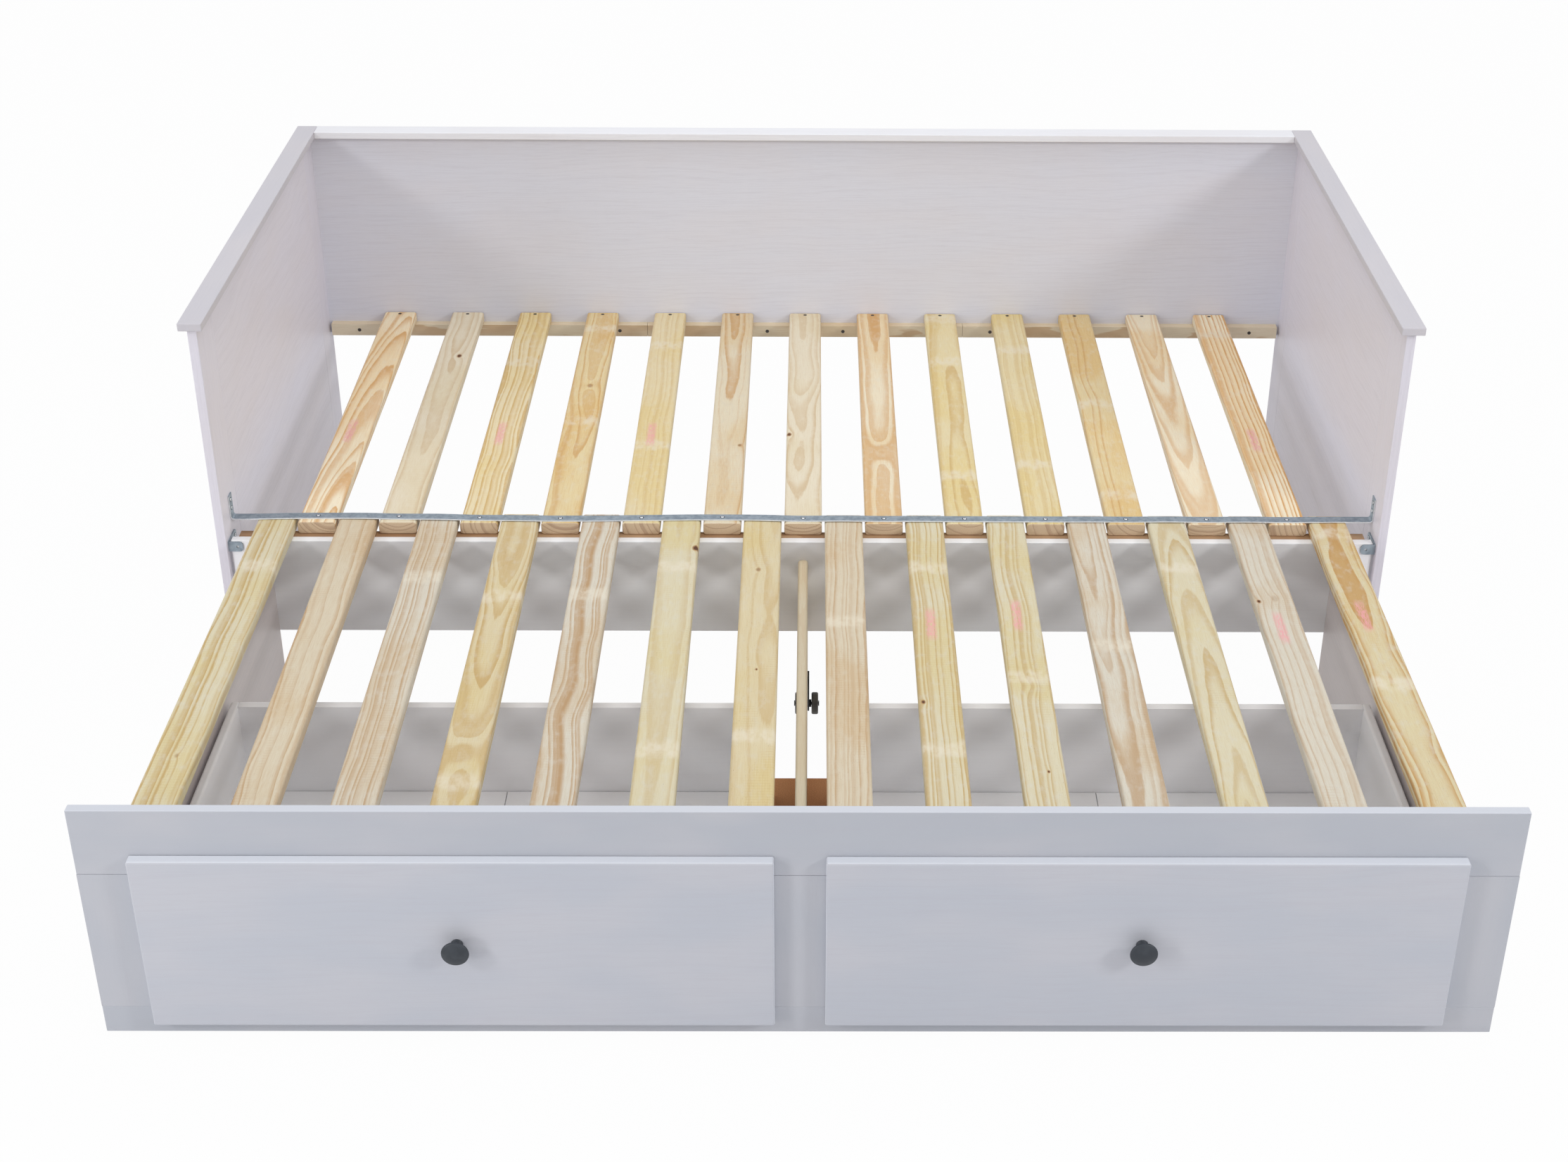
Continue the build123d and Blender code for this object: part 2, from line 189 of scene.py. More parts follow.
# early wood, late wood, the glow of the broad resin-rich patches
TONES = {
    "straw": (paint(238, 223, 183), paint(212, 176, 112), paint(236, 214, 152)),
    "cream": (paint(235, 224, 199), paint(210, 182, 140), paint(229, 215, 182)),
    "pinkish": (paint(236, 223, 196), paint(201, 160, 112), paint(228, 204, 166)),
    "amber": (paint(238, 219, 170), paint(209, 155, 82), paint(233, 199, 134)),
    # painted shade: a pine tone darkened to brown for the cleats, which sit in shadow below the fixed slats'
    # ends
    "shaded_brown": (paint(190, 156, 122), paint(150, 110, 76), paint(178, 140, 104)),
    # the lightest tone; on the end fixed slats it is partly painted light, lifting them against the shadow
    # of the end panels
    "warm": (paint(247, 235, 206), paint(216, 166, 104), paint(241, 217, 172)),
}
END_GRAIN = paint(208, 182, 150)
END_RING = paint(156, 120, 98)
END_PALE = paint(230, 212, 184)

# One row for each slat, left to right: tone, cast, pith across and below (mm), lean of the pith (mm in a
# metre), ring spacing (mm), wander (mm), contrast, planed bands (share of the length), crayon smear (share),
# knots (across in mm, share of the length, radius in mm, how dark).
FIXED_BOARDS = (
    ("warm", "pale", 26, 50, -60, 8.0, 6, 1.0, [], 0.61, []),
    ("cream", "clear", 2, 30, 12, 8.0, 7, 0.75, [], None, [(12, 0.24, 4.5, 1.0)]),
    ("straw", "clear", 46, 14, -22, 12.0, 12, 1.0, [0.27], 0.62, []),
    ("amber", "dull", 6, 26, 12, 12.0, 14, 0.9, [0.09, 0.56], None, [(4, 0.39, 5, 0.25)]),
    ("straw", "dull", 78, 20, 6, 11.0, 8, 0.5, [0.18, 0.67], 0.62, []),
    ("warm", "tan", -4, 34, 16, 15.0, 8, 0.8, [], None, [(22, 0.67, 3, 0.4)]),
    ("cream", "clear", -6, 40, 26, 8.0, 10, 0.75, [], None, [(-28, 0.62, 4, 0.9)]),
    ("warm", "dull", 2, 38, 9, 12.0, 4, 1.0, [], None, [(2, 0.70, 9, 0.0)]),
    ("straw", "honey", 8, 40, -14, 13.0, 9, 0.8, [0.03, 0.26, 0.80], None, []),
    ("straw", "honey", 64, 12, 6, 15.0, 7, 0.55, [0.20, 0.75], None, []),
    ("amber", "dull", 24, 30, -7, 15.0, 9, 0.6, [0.47, 0.88], None, []),
    ("warm", "clear", -2, 46, 40, 7.5, 5, 0.7, [], None, []),
    ("warm", "pale", 72, 10, 10, 9.5, 4, 1.35, [0.11], 0.64, []),
)
MOVING_BOARDS = (
    ("straw", "grey", -66, 16, 8, 12.5, 8, 1.15, [0.20], None, [(4, 0.81, 3, 0.2)]),
    ("pinkish", "tan", -50, 24, -20, 21.0, 9, 0.9, [], None, [(-28, 0.99, 3, 1.0)]),
    ("pinkish", "grey", 80, 16, 9, 9.0, 9, 0.85, [0.24], None, []),
    ("straw", "tan", 0, 38, 38, 8.5, 12, 1.05, [0.31, 0.88], None, [(-4, 0.80, 10, 0.0)]),
    ("pinkish", "grey", 66, 14, -14, 16.0, 20, 1.05, [0.30], None, []),
    ("straw", "grey", -3, 32, 18, 14.0, 8, 0.55, [0.20, 0.79], None, [(29, 0.13, 5.5, 1.0)]),
    ("straw", "tan", 20, 36, 9, 17.0, 9, 0.5, [0.75], None, [(-4, 0.21, 3.5, 0.4), (0, 0.55, 1.5, 1.0)]),
    ("pinkish", "tan", 58, 12, -18, 9.0, 9, 0.7, [0.39], None, []),
    ("straw", "grey", 74, 22, 8, 9.5, 7, 1.05, [0.20, 0.79], 0.40, [(-26, 0.65, 3, 1.0)]),
    ("straw", "grey", 84, 26, -6, 10.0, 10, 1.0, [0.57], 0.37, [(0, 0.60, 8, 0.0), (8, 0.85, 1.8, 1.0)]),
    ("pinkish", "grey", -14, 26, 26, 8.5, 8, 0.8, [0.47], None, []),
    ("straw", "grey", 4, 42, -44, 9.0, 6, 0.8, [0.20], None, []),
    ("pinkish", "grey", 56, 20, 12, 11.0, 9, 0.6, [], 0.41, [(2, 0.31, 6, 0.1), (-26, 0.32, 3, 1.0)]),
    ("amber", "grey", 0, 34, 11, 9.0, 10, 1.1, [0.07, 0.59], 0.37, []),
)
# each board's tone is multiplied by its cast, which makes it lighter, darker or greyer; pale is painted
# light, lifting the two end fixed slats against the shadow the end panels cast on them
CASTS = {
    "pale": (1.05, 1.05, 1.05),
    "clear": (1.00, 1.00, 1.00),
    "dull": (0.95, 0.95, 0.95),
    "honey": (0.95, 0.95, 0.90),
    "tan": (0.85, 0.85, 0.85),
    "grey": (0.85, 0.90, 1.00),
}
RESIN = paint(128, 84, 40)
KNOT = paint(92, 54, 28)
KNOT_RIM = paint(176, 132, 82)
CRAYON = paint(240, 168, 172)
PLANED = paint(236, 227, 206)

SLAT_LONG = 934.0      # mm, the length that the shares are counted in, from the rear end
LEVEL_AT = 0.47        # metres along, where the pith lies at its given depth
KNOT_STRETCH = 0.62    # a knot's figure is longer than it is wide
CRAYON_LONG = 58.0     # mm from a smear's middle to its end
CRAYON_WIDE = 11.0     # mm from its middle to its side
BAND_REACH = 28.0      # mm from a planed band's middle to its end
BAND_WAVE = 34.0       # mm by which a band's line wanders
FIRST_SEED = 11.3      # each slat has a seed of its own, so no two have the same figure
SEED_STEP = 7.7


def rings(finish, across, along, down, pith, below, lean, spacing, wander, seed, knots=()):
    """The growth rings of a board cut beside its pith: 0 in early wood to 1 at a ring's dark edge."""
    sway, sink, drift = finish.noises(across * 0.006, along * 0.0042, seed)
    small = finish.noise(across * 0.07, along * 0.011, down * 0.07 + seed)
    beside = across - pith + sway * (2.4 * wander)
    under = along * (lean * MM) + sink * (1.6 * wander) + (below - lean * LEVEL_AT) - down
    radius = (beside * beside + under * under) ** 0.5 + small * 2.6
    for knot_across, share, size, _ in knots:
        away = knot_distance(across, along, knot_across, share)
        radius = radius + (1.6 * size) / (1.0 + (away * away) / (4.0 * size * size))
    widths = finish.noise(radius * 0.07, seed, 0.0, 1.0)
    turn = finish.maths("FRACT", radius / spacing + widths * 2.6)
    season = finish.step(finish.noise(radius * 0.16, seed + 3.0, 0.0, 1.0), 0.28, 0.62)
    return turn, drift, season


def knot_distance(across, along, knot_across, share):
    off = across - knot_across
    far = (along - share * SLAT_LONG) * KNOT_STRETCH
    return (off * off + far * far) ** 0.5


def planed(finish, colour, bands, mottle, across, along, seed):
    """Pale bands across the board, where the planer slowed down."""
    for share in bands:
        wave = finish.noise(across * 0.05, along * 0.03, seed + share, 3.0) * BAND_WAVE
        off = finish.maths("ABSOLUTE", along - share * SLAT_LONG + wave - BAND_WAVE / 2)
        band = finish.step(off, BAND_REACH, 6.0) * finish.step(mottle, 0.2, 0.62)
        colour = finish.mix(band * 0.5, colour, PLANED)
    return colour


def crayoned(finish, colour, share, fibre, across, along, seed):
    """A rubbed smear of the sawmill's pink crayon."""
    off = finish.maths("ABSOLUTE", along - share * SLAT_LONG)
    side = finish.maths("ABSOLUTE", across + 1.5 + fibre * 5)
    rubbed = finish.noise(across * 0.8, along * 0.10, seed)
    pink = finish.step(off, CRAYON_LONG, 30.0) * finish.step(side, CRAYON_WIDE, 4.0)
    return finish.mix(pink * finish.step(rubbed, 0.25, 0.65) * 0.85, colour, CRAYON)


def knotted(finish, colour, knots, fibre, across, along):
    """Each knot's pale rim and dark heart."""
    for knot_across, share, size, darkness in knots:
        away = knot_distance(across, along, knot_across, share) + fibre * 1.2 - 0.6
        rim = finish.step(away, size + 1.6, size)
        heart = finish.step(away, size, size * 0.55)
        colour = finish.mix(rim * min(0.8, 1.4 * darkness), colour, KNOT_RIM)
        colour = finish.mix(heart * darkness, colour, KNOT)
    return colour


def sawn_ends(finish, colour, half_long, turn, across, along, down, seed):
    """Rough end grain on the two end faces, half_long mm from the board's middle."""
    off = finish.maths("ABSOLUTE", along - half_long)
    saw = finish.noise(across * 1.1, along, down * 1.1 + seed, 4.0, 0.7)
    sawn = finish.mix(finish.step(saw, 0.42, 0.62) * 0.55, END_GRAIN, END_PALE)
    sawn = finish.mix(finish.step(turn, 0.55, 0.95) * finish.step(turn, 1.01, 0.96) * 0.5, sawn, END_RING)
    sawn = finish.mix(finish.step(saw, 0.44, 0.32) * 0.7, sawn, END_RING)
    return finish.mix(finish.step(off, half_long - 1.3, half_long - 0.4), colour, sawn)


def pine(name, row, seed):
    tone, cast, pith, below, lean, spacing, wander, contrast, bands, smear, knots = row
    early, late, glow = TONES[tone]
    low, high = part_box(name)
    finish = Finish(name + "_pine", Specular_IOR_Level=0.32)
    x, y, z = finish.place()
    across = x - (low.x + high.x) / 2 * METRE
    along = high.y * METRE - y
    down = z - high.z * METRE
    turn, drift, season = rings(finish, across, along, down, pith, below, lean, spacing, wander, seed, knots)
    fray = finish.noise(across * 0.9, along * 0.06, down * 0.9 + seed, 3.0, 0.65)
    turn = turn + (fray - 0.5) * 0.10
    dark = finish.step(turn, 0.30, 0.93) * finish.step(turn, 1.01, 0.94) * (season * 0.6 + 0.45)
    fibre = finish.noise(across * 1.3, along * 0.028, down * 1.3 + seed, 3.0, 0.6)
    sway = finish.noise(across * 0.03, along * 0.009, seed + 6, 1.0) - 0.5
    chatter = finish.step(finish.maths("PINGPONG", along + fray * 3, 3.4), 2.2, 3.0)
    chatter = chatter * finish.step(drift - sway, 0.02, 0.12)
    patch = finish.step(drift + fibre * 0.16, 0.02, 0.22)
    mottle = finish.noise(across * 0.10, along * 0.05, seed, 3.0)
    pores = finish.noise(across * 1.9, along * 0.16, down * 1.9 + seed + 4, 1.0)
    colour = finish.mix(patch * 0.75, early, glow)
    colour = finish.mix(dark * (contrast * 0.92), colour, late)
    colour = finish.mix(finish.step(fibre, 0.35, 0.75) * 0.26, colour, late)
    colour = finish.mix(chatter * (season * 0.14 + 0.04), colour, late)
    colour = finish.mix(finish.step(mottle, 0.45, 0.8) * 0.35, colour, PLANED)
    colour = finish.mix(finish.step(pores, 0.715, 0.77) * 0.45, colour, RESIN)
    colour = finish.mix(1.0, colour, (*CASTS[cast], 1.0), "MULTIPLY")
    colour = planed(finish, colour, bands, mottle, across, along, seed)
    if smear is not None:
        colour = crayoned(finish, colour, smear, fibre, across, along, seed)
    colour = knotted(finish, colour, knots, fibre, across, along)
    colour = sawn_ends(finish, colour, (high.y - low.y) / 2 * METRE, turn, across, along, down, seed)
    height = fibre * 0.5 + dark * 0.3 + chatter * 0.2
    return finish.feed(colour, finish.step(fibre, 0.0, 1.0) * 0.16 + 0.48, height, 0.00006)


slat_rows = [(f"fixed_slat_{number:02d}", row) for number, row in enumerate(FIXED_BOARDS, 1)]
slat_rows += [(f"moving_slat_{number:02d}", row) for number, row in enumerate(MOVING_BOARDS, 1)]
for index, (slat, row) in enumerate(slat_rows):
    dress(pine(slat, row, FIRST_SEED + SEED_STEP * index), slat)


def lumber(name, tone, grain, pith, below, spacing, contrast, seed, pale=0.0):
    """Pine for the small battens: grain is the axis it runs along."""
    early, late, glow = TONES[tone]
    finish = Finish(name, Specular_IOR_Level=0.3)
    x, y, z = finish.place()
    across, along = (y, x) if grain == "x" else (x, y)
    cut = {"pith": pith, "below": below, "lean": 4, "spacing": spacing, "wander": 6}
    turn, drift, season = rings(finish, across, along, z, **cut, seed=seed)
    dark = finish.step(turn, 0.4, 0.95) * finish.step(turn, 1.0, 0.95) * (season * 0.6 + 0.4)
    fibre = finish.noise(across * 1.1, along * 0.03, z * 1.1 + seed, 3.0, 0.6)
    colour = finish.mix(finish.step(drift, 0.0, 0.25) * 0.6, early, glow)
    colour = finish.mix(dark * contrast, colour, late)
    colour = finish.mix(finish.step(fibre, 0.4, 0.8) * 0.3, colour, late)
    colour = finish.mix(pale, colour, PLANED)
    return finish.feed(colour, fibre * 0.2 + 0.5, fibre, 0.00012)


ledger = lumber("ledger_pine", "pinkish", "x", pith=40, below=300, spacing=5.0, contrast=0.6, seed=3.1)
# the cleats take the darker tone as painted shade
cleat = lumber("cleat_pine", "shaded_brown", "x", pith=30, below=-260, spacing=6.0, contrast=0.9, seed=5.4)
edge_board = lumber("edge_board_pine", "warm", "y", 60, -150, 9.0, 0.2, seed=8.8, pale=0.25)
dress(ledger, "rear_ledger")
dress(cleat, "slat_cleats")
dress(edge_board, "centre_board")


# ---------------------------------------------------------------- glazed boards

GLAZE_GRAIN = paint(188, 183, 192)
GLAZE_WARM = paint(228, 219, 217)
# paler colours for the painted highlight along the top and side edges of the drawer fronts and of the front
# top rail
DRAWER_EDGE_HIGHLIGHT = paint(227, 230, 237)
RAIL_EDGE_HIGHLIGHT = paint(210, 213, 221)


def glaze(name, grain, seed, tint, strength=1.0, stiles=None, highlit_board=None, edge=None):
    """A thin pale glaze over softwood: the grain still shows, faintly, along the axis it runs.
    stiles gives the y, in mm, of the seams beyond which a panel's boards stand upright.
    edged names a board whose top and side edges take a painted highlight, mixed towards the paler colour
    edge."""
    finish = Finish(name, Specular_IOR_Level=0.38)
    x, y, z = finish.place()
    along, across, down = {"x": (x, z + y, y), "y": (y, z + x, x), "z": (z, y + x, x)}[grain]
    if stiles:
        front, rear = stiles
        upright = finish.maths("LESS_THAN", y, front) + finish.maths("GREATER_THAN", y, rear)
        along, across = along + (z - along) * upright, across + (y - across) * upright
    cut = {"pith": 40, "below": 70, "lean": 26, "spacing": 9.0, "wander": 16}
    turn, _, season = rings(finish, across, along, down, **cut, seed=seed)
    dark = finish.step(turn, 0.3, 0.95) * finish.step(turn, 1.0, 0.93) * season
    fibre = finish.noise(across * 0.42, along * 0.012, down * 0.4 + seed, 3.0, 0.62)
    fine = finish.noise(across * 1.7, along * 0.05, down + seed, 2.0)
    cloud = finish.noise(across * 0.010, along * 0.004, seed, 2.0)
    colour = finish.mix(finish.step(cloud, 0.35, 0.7) * 0.16, tint, GLAZE_WARM)
    colour = finish.mix(dark * (0.08 * strength), colour, GLAZE_GRAIN)
    colour = finish.mix(finish.step(fibre, 0.45, 0.72) * (0.13 * strength), colour, GLAZE_GRAIN)
    colour = finish.mix(finish.step(fine, 0.55, 0.75) * (0.12 * strength), colour, GLAZE_GRAIN)
    # painted highlight: the board's top and side edges are mixed towards the paler edge colour, standing in
    # for the light they catch
    if highlit_board:
        low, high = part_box(highlit_board)
        middle, half_long, top = (low.x + high.x) / 2 * METRE, (high.x - low.x) / 2 * METRE, high.z * METRE
        sides = finish.step(finish.maths("ABSOLUTE", x - middle), half_long - 0.9, half_long - 0.3)
        upper = finish.step(z, top - 0.9, top - 0.3)
        colour = finish.mix(finish.maths("MAXIMUM", sides, upper), colour, edge)
    return finish.feed(colour, fibre * 0.16 + 0.36, fibre + fine * 0.6, 0.00004)


FRONT_STILE = 100    # mm, the width of the upright board at an end panel's front
REAR_STILE = 91
low_end, high_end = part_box("left_end_panel")
seams = (low_end.y * METRE + FRONT_STILE, high_end.y * METRE - REAR_STILE)
# Each part takes the same glaze in a tint of its own, and the tints are partly painted light and shade:
# darker on the front and the drawer fronts, which the lamps light most, and near white on the rear rail and
# the drawer boxes, which they reach least.
end_glaze = glaze("end_panel_glaze", "y", 2.2, paint(230, 227, 237), stiles=seams)
dress(end_glaze, "left_end_panel", "right_end_panel")
dress(glaze("cap_glaze", "y", 4.9, paint(206, 203, 209), strength=0.7), "left_cap", "right_cap")
dress(glaze("back_glaze", "x", 6.1, paint(226, 227, 236)), "back_panel")
dress(glaze("back_cap_glaze", "x", 7.4, paint(242, 242, 246), strength=0.7), "back_cap")
FRONT = paint(188, 191, 198)
top_rail = "front_top_rail"
dress(glaze("top_rail_glaze", "x", 9.7, FRONT, 0.7, highlit_board=top_rail, edge=RAIL_EDGE_HIGHLIGHT), top_rail)
dress(glaze("bottom_rail_glaze", "x", 9.7, FRONT, strength=0.7), "front_bottom_rail")
dress(glaze("front_stile_glaze", "z", 12.4, FRONT, strength=0.7), "front_stiles")
dress(glaze("rear_rail_glaze", "x", 15.8, paint(252, 253, 255), strength=0.25), "rear_rail")
dress(glaze("side_panel_glaze", "y", 18.3, paint(226, 218, 217)), "left_side_panel", "right_side_panel")
DRAWER = paint(196, 199, 207)
for front, seed in (("left_drawer_front", 21.9), ("right_drawer_front", 27.2)):
    dress(glaze(front + "_glaze", "x", seed, DRAWER, highlit_board=front, edge=DRAWER_EDGE_HIGHLIGHT), front)
box_glaze = glaze("drawer_box_glaze", "x", 31.5, paint(253, 253, 255), strength=0.2)
dress(box_glaze, "left_drawer_box", "right_drawer_box")


# ---------------------------------------------------------------- metal, hardboard, nylon

def metal(name, bright, dull, rough, scale, plated):
    """Plated or lacquered metal; scale sets the size of its bloom."""
    finish = Finish(name, Metallic=plated)
    x, y, z = finish.place()
    bloom = finish.noise(x * scale, y * scale, z * scale, 4.0, 0.6)
    scuff = finish.noise(x * 0.05, y * 2.0, z * 2.0, 2.0)
    colour = finish.mix(finish.step(bloom, 0.25, 0.8) * 0.7, bright, dull)
    return finish.feed(colour, bloom * 0.25 + scuff * 0.1 + rough, bloom, 0.00006)


def moulded(name, colour, worn, rough):
    finish = Finish(name, Specular_IOR_Level=0.45)
    x, y, z = finish.place()
    grit = finish.noise(x * 1.8, y * 1.8, z * 1.8, 3.0)
    dust = finish.noise(x * 0.05, y * 0.05, z * 0.05, 2.0)
    shade = finish.mix(finish.step(dust + grit * 0.3, 0.55, 0.8) * 0.5, colour, worn)
    return finish.feed(shade, grit * 0.2 + rough, grit, 0.00004)


ZINC = metal("galvanised_strap", paint(164, 175, 184), paint(112, 125, 136), 0.36, 0.10, plated=0.8)
dress(ZINC, "stop_brackets")
DARK_SCREW = metal("dark_screw", paint(84, 78, 74), paint(52, 48, 46), rough=0.40, scale=0.8, plated=0.6)
dress(DARK_SCREW, "dark_screws")
BRACKET = metal("black_bracket", paint(44, 45, 48), paint(28, 29, 31), rough=0.45, scale=0.4, plated=0.3)
dress(BRACKET, "wheel_brackets")
KNOB = moulded("knob_lacquer", paint(46, 51, 58), paint(62, 67, 74), rough=0.38)
wheels = [f"{side}_{end}_wheels" for side in ("left", "centre", "right") for end in ("rear", "front")]
dress(moulded("wheel_nylon", paint(64, 60, 56), paint(88, 84, 78), rough=0.42), *wheels)


def hardboard():
    finish = Finish("hardboard_plate", Specular_IOR_Level=0.3)
    x, y, z = finish.place()
    pressed = finish.noise(x * 0.6, y * 0.6, z * 0.6, 4.0, 0.65)
    cloud = finish.noise(x * 0.03, y * 0.03, z * 0.03, 2.0)
    colour = finish.mix(finish.step(pressed, 0.35, 0.65), paint(229, 168, 118), paint(204, 142, 97))
    colour = finish.mix(finish.step(cloud, 0.4, 0.7) * 0.4, colour, paint(208, 150, 105))
    return finish.feed(colour, pressed * 0.2 + 0.5, pressed, 0.00012)


dress(hardboard(), "runner_plates")


# ---------------------------------------------------------------- pieces made here

def flip_outward(mesh):
    shell = bmesh.new()
    shell.from_mesh(mesh)
    bmesh.ops.recalc_face_normals(shell, faces=shell.faces)
    shell.to_mesh(mesh)
    shell.free()


def piece(name, vertices, faces, shades, finishes, body, node, smooth=False):
    """Makes one mesh that stands in for a node and rides its body.
    shades picks each face's finish, and smooth rounds every face but the end caps."""
    mesh = bpy.data.meshes.new(name)
    mesh.from_pydata([tuple(point) for point in vertices], [], faces)
    for finish in finishes:
        mesh.materials.append(finish)
    for face, shade in zip(mesh.polygons, shades):
        face.material_index = shade
        face.use_smooth = smooth and len(face.vertices) < 5
    flip_outward(mesh)
    made = bpy.data.objects.new(name, mesh)
    bpy.context.scene.collection.objects.link(made)
    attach(made, body)
    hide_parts(node)


def lathe(profile, sides, centre, axis):
    """A turned piece: profile gives (radius, reach along axis) in metres from its foot to its tip."""
    along = Vector(axis).normalized()
    beside = along.orthogonal().normalized()
    above = along.cross(beside)
    vertices = []
    for radius, reach in profile:
        for side in range(sides):
            angle = side / sides * 2 * math.pi
            ring_point = beside * (math.cos(angle) * radius) + above * (math.sin(angle) * radius)
            vertices.append(centre + along * reach + ring_point)
    faces = []
    for row in range(len(profile) - 1):
        for side in range(sides):
            following = (side + 1) % sides
            faces.append((row * sides + side, row * sides + following,
                          (row + 1) * sides + following, (row + 1) * sides + side))
    faces.append(tuple(range(sides))[::-1])
    faces.append(tuple(range(len(vertices) - sides, len(vertices))))
    return vertices, faces


# ---------------------------------------------------------------- the strap over the fixed slats' ends

SLAT_PITCH = 142.3 * MM
FIXED_SLATS = len(FIXED_BOARDS)
MIDDLE_SLAT = FIXED_SLATS // 2    # counted from 0
# where the strap bends: fixed slat, counted from the left, and mm forward of its straight line
STRAP_BENDS = ((0, 0), (1, -4), (4, 4), (6, -2), (7, 2), (13, 2), (14, 0))
STRAP_BOW = 0.9       # mm, the most that it lifts between its screws
STRAP_THICK = 2 * MM
STRAP_ROUND = 0.4 * MM
STRAP_CORNER = 5 * MM
STRAP_STEPS = 280     # pieces in which it crosses the bed
CORNER_STEPS = 8
FADE = 0.05           # metres over which the drift and the bow die away at the ends
END_SCREWS = (19, 35)    # mm above the strap's underside
SCREW_SIDES = 20
# radius and height above the strap, in mm, from the foot up
DOME_OUTLINE = [(2.9, -0.4), (2.9, 0.2), (2.5, 0.75), (1.7, 1.1), (0.8, 1.25)]
DIMPLE_OUTLINE = [(4.1, -0.4), (4.1, 0.12), (3.9, 0.16)]
RECESS_OUTLINE = [(0.95, 0.8), (0.95, 1.32)]
# painted highlight: a near-white, less metallic finish on the strap's front edge, standing in for the light
# that edge catches
STRAP_EDGE_HIGHLIGHT = metal("strap_edge_painted_highlight", paint(236, 239, 242), paint(206, 211, 216), 0.42, 0.2, plated=0.25)
SCREW_HEAD = metal("zinc_screw_head", paint(232, 235, 238), paint(190, 196, 202), 0.22, 0.6, plated=0.75)
# painted shade: the dark finish of the dimple around each screw head and of the recess in its top
SCREW_PAINTED_SHADE = metal("screw_painted_shade", paint(58, 56, 54), paint(40, 39, 38), 0.5, 0.6, plated=0.3)


def strap_line(across):
    """The strap's forward drift and its lift off the slats, at a place across the bed."""
    place = across / SLAT_PITCH + MIDDLE_SLAT
    number = min(max(place + 1, 0), FIXED_SLATS + 1)
    forward = 0.0
    for (start, drift), (end, next_drift) in zip(STRAP_BENDS, STRAP_BENDS[1:]):
        if start <= number <= end:
            share = (number - start) / (end - start)
            forward = drift + (next_drift - drift) * share * share * (3 - 2 * share)
    held = math.cos(math.pi * place) ** 2
    bow = (0.5 + 0.5 * math.sin(across * 9.1 + 1.3)) * STRAP_BOW * (1 - held)
    return forward * MM, bow * MM


def strap_route(low, high):
    """The strap's centre line from its left tip to its right one: a place and the strap's slope there."""
    middle = (low.y + high.y) / 2
    half_thick = STRAP_THICK / 2
    reach = high.x - half_thick
    flat = reach - STRAP_CORNER
    line = []
    for index in range(STRAP_STEPS + 1):
        across = (index / STRAP_STEPS * 2 - 1) * flat
        forward, bow = strap_line(across)
        fade = min(1.0, (flat - abs(across)) / FADE)
        line.append((across, middle - forward * fade, low.z + half_thick + bow * fade, 0.0))
    right = []
    for turn in range(1, CORNER_STEPS + 1):
        angle = turn / CORNER_STEPS * math.pi / 2
        out, up = STRAP_CORNER * math.sin(angle), STRAP_CORNER * (1 - math.cos(angle))
        right.append((flat + out, middle, low.z + half_thick + up, angle))
    right.append((reach, middle, high.z, math.pi / 2))
    left = [(-x, y, z, -angle) for x, y, z, angle in reversed(right)]
    return left + line + right


def strap():
    """A rolled steel strap, bent up at both ends. It wanders and bows a little between its screws."""
    low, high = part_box("tie_bar")
    half_wide, half_thick = (high.y - low.y) / 2, STRAP_THICK / 2
    inner = half_wide - STRAP_ROUND
    ring = [(-half_wide, -0.7), (-inner, -1), (inner, -1), (half_wide, -0.7),
            (half_wide, 0.7), (inner, 1), (-inner, 1), (-half_wide, 0.7)]
    vertices, faces = [], []
    for x, y, z, angle in strap_route(low, high):
        for wide, side in ring:
            lift = side * half_thick
            vertices.append((x - math.sin(angle) * lift, y + wide, z + math.cos(angle) * lift))
    count = len(ring)
    rows = len(vertices) // count
    for row in range(rows - 1):
        for spot in range(count):
            following = (spot + 1) % count
            here, there = row * count, (row + 1) * count
            faces.append((here + spot, here + following, there + following, there + spot))
    # the faces of the front edge, which take the painted highlight
    highlit_front_edge = {number for number in range(len(faces)) if number % count in (count - 1, count - 2)}
    faces.append(tuple(range(count))[::-1])
    faces.append(tuple(range((rows - 1) * count, rows * count)))
    shades = [1 if number in highlit_front_edge else 0 for number in range(len(faces))]
    piece("steel_strap", vertices, faces, shades, (ZINC, STRAP_EDGE_HIGHLIGHT), "frame", "tie_bar")


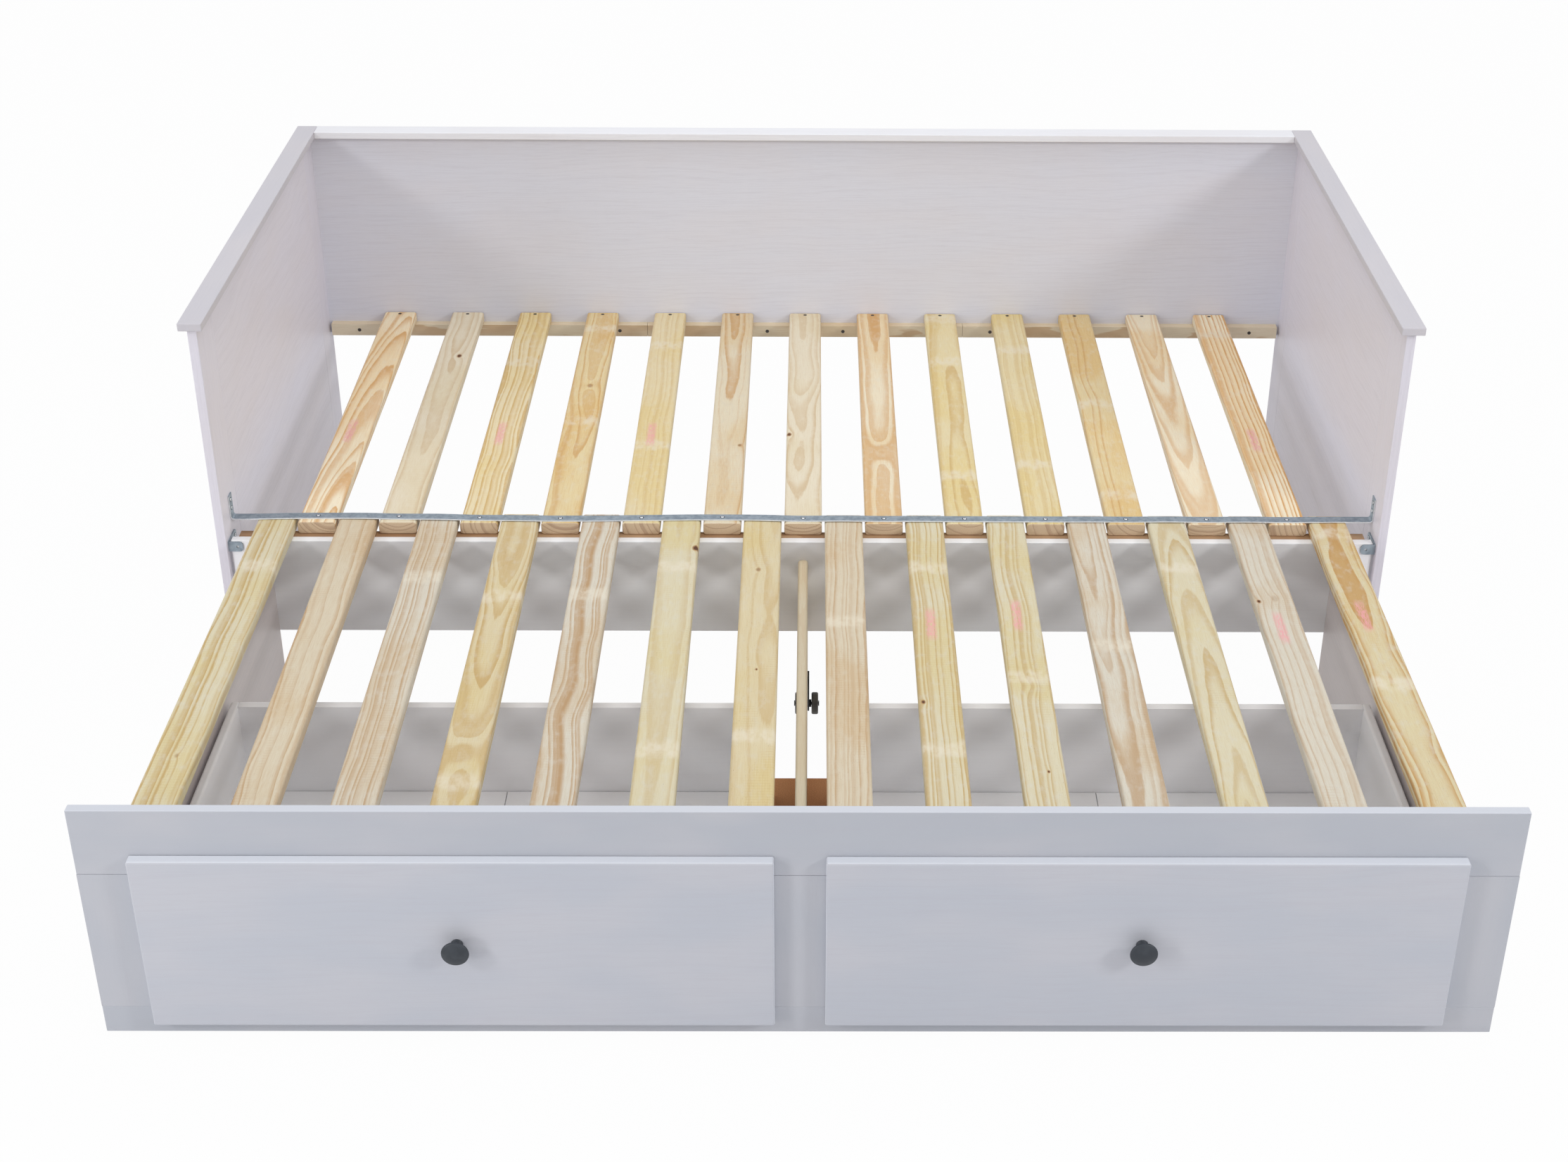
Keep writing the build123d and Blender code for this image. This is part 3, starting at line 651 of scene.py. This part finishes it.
def strap_screws():
    """Raised heads in small dimples: at each fixed slat, in the upturned ends and in the brackets. The
    dimple around each head and the recess in its top are painted dark, as painted shade.
    """
    low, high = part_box("tie_bar")
    bracket_low, bracket_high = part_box("stop_brackets")
    middle = (low.y + high.y) / 2
    half_high = (bracket_high.z - bracket_low.z) / 2
    places = []
    for number in range(FIXED_SLATS):
        across = (number - MIDDLE_SLAT) * SLAT_PITCH
        forward, bow = strap_line(across)
        places.append((Vector((across, middle - forward, low.z + STRAP_THICK + bow)), (0, 0, 1)))
    for side in (-1, 1):
        inner, inward = side * (high.x - STRAP_THICK), (-side, 0, 0)
        places += [(Vector((inner, middle, low.z + up * MM)), inward) for up in END_SCREWS]
        bracket_screw = Vector((inner, bracket_high.y - half_high, bracket_high.z - half_high))
        places.append((bracket_screw, inward))
    vertices, faces, shades = [], [], []
    for place, axis in places:
        for outline, shade in ((DOME_OUTLINE, 0), (DIMPLE_OUTLINE, 1), (RECESS_OUTLINE, 1)):
            profile = [(out * MM, far * MM) for out, far in outline]
            points, sheets = lathe(profile, SCREW_SIDES, place, axis)
            start = len(vertices)
            vertices += points
            faces += [tuple(start + corner for corner in sheet) for sheet in sheets]
            shades += [shade] * len(sheets)
    piece("strap_screw_heads", vertices, faces, shades, (SCREW_HEAD, SCREW_PAINTED_SHADE),
          "frame", "zinc_screws")


# ---------------------------------------------------------------- the drawers' knobs

KNOB_SIDES = 56
# radius and reach off the drawer, as shares of the whole: the foot and neck, the back of the disc, its
# rolled rim, the dome
KNOB_OUTLINE = [
    (0.44, 0.0), (0.45, 0.03), (0.43, 0.06), (0.36, 0.10), (0.335, 0.22), (0.34, 0.36), (0.39, 0.48),
    (0.52, 0.57), (0.74, 0.64), (0.90, 0.685),
    (0.965, 0.71), (0.995, 0.75), (1.0, 0.79), (0.985, 0.83), (0.95, 0.855), (0.90, 0.87),
    (0.70, 0.93), (0.45, 0.975), (0.2, 0.995), (0.02, 1.0),
]


def knob(node, body):
    """A turned metal knob: a slim neck on a small foot, a shallow domed disc with a rolled rim."""
    low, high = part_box(node)
    radius, reach = (high.x - low.x) / 2, high.y - low.y
    profile = [(out * radius, far * reach) for out, far in KNOB_OUTLINE]
    foot = Vector(((low.x + high.x) / 2, high.y, (low.z + high.z) / 2))
    vertices, faces = lathe(profile, KNOB_SIDES, foot, (0, -1, 0))
    shades = [0] * len(faces)
    piece(node + "_turned", vertices, faces, shades, (KNOB,), body, node, True)


strap()
strap_screws()
for side in ("left", "right"):
    knob(side + "_knob", side + "_drawer")


# ---------------------------------------------------------------- floor, light, camera

FLOOR_REACH = 30.0    # metres
FLOOR_SHOWN = 0.97    # how much of what is seen is plain white; the rest keeps the shadow


def plain_floor():
    mesh = bpy.data.meshes.new("floor")
    level = cad_box[0].z
    corners = [(x * FLOOR_REACH, y * FLOOR_REACH, level) for x, y in ((-1, -1), (1, -1), (1, 1), (-1, 1))]
    mesh.from_pydata(corners, [], [(0, 1, 2, 3)])
    floor = bpy.data.objects.new("floor", mesh)
    bpy.context.scene.collection.objects.link(floor)
    finish = Finish("floor_white", Roughness=0.9, Specular_IOR_Level=0.0)
    finish.shader.inputs["Base Color"].default_value = paint(218, 218, 221)
    glow = finish.node("Emission", {}, {"Color": (1.0, 1.0, 1.0, 1.0), "Strength": 1.0})
    painted = Flow(finish, finish.shader.outputs[0])
    shown = finish.node("MixShader", {}, {0: finish.seen() * FLOOR_SHOWN, 1: painted, 2: glow})
    output = finish.tree.nodes["Material Output"]
    finish.tree.links.new(shown.socket, output.inputs["Surface"])
    mesh.materials.append(finish.material)


def surrounding_light(level, overhead):
    """A plain white room: level is its strength at eye height, overhead that of its ceiling."""
    world = bpy.data.worlds.new("studio")
    bpy.context.scene.world = world
    world.use_nodes = True
    room = ShaderTree(world.node_tree)
    height = room.node("SeparateXYZ", {}, {0: room.node("TexCoord", {}, {}, "Generated")}, "Z")
    lit = room.node("MapRange", {}, {"Value": height, "To Min": level, "To Max": overhead})
    strength = room.node("Mix", {}, {0: room.seen(), 2: lit, 3: 1.0})
    sky = room.tree.nodes["Background"]
    sky.inputs["Color"].default_value = (0.97, 0.98, 1.0, 1.0)
    room.tree.links.new(strength.socket, sky.inputs["Strength"])


def soft_box(name, place, aim, width, watts):
    lamp = bpy.data.lights.new(name, "AREA")
    lamp.shape = "DISK"
    lamp.size = width
    lamp.energy = watts
    light = bpy.data.objects.new(name, lamp)
    bpy.context.scene.collection.objects.link(light)
    light.location = place
    light.rotation_euler = (Vector(aim) - Vector(place)).to_track_quat("-Z", "Y").to_euler()


def camera():
    """The eye, above the bed's front. Places are in metres, turns in degrees, the lens in mm."""
    data = bpy.data.cameras.new("camera")
    data.sensor_width = 36.0
    data.lens = 52.1
    data.shift_x = -0.0304
    data.shift_y = -0.0102
    data.clip_end = 100.0
    eye = bpy.data.objects.new("camera", data)
    bpy.context.scene.collection.objects.link(eye)
    eye.location = (0.0151, -3.4940, 2.2599)
    eye.rotation_euler = [math.radians(turn) for turn in (60.514, -0.381, -0.367)]
    bpy.context.scene.camera = eye


# name, place and aim in metres, width in metres, power in watts
SOFT_BOXES = (
    ("left_soft_box", (-3.6, -3.1, 2.8), (0.0, -0.3, 0.3), 0.85, 36),
    ("right_soft_box", (3.6, -2.9, 2.75), (0.0, -0.3, 0.3), 0.85, 50),
    ("ceiling_soft_box", (0.0, 0.35, 3.0), (0.0, 0.15, 0.0), 1.8, 11),
    ("low_left_soft_box", (-3.0, -3.2, 0.9), (0.0, -0.9, 0.2), 1.0, 18),
)
plain_floor()
surrounding_light(level=0.50, overhead=0.84)
for lamp in SOFT_BOXES:
    soft_box(*lamp)
camera()
bpy.context.scene.view_settings.view_transform = "Standard"
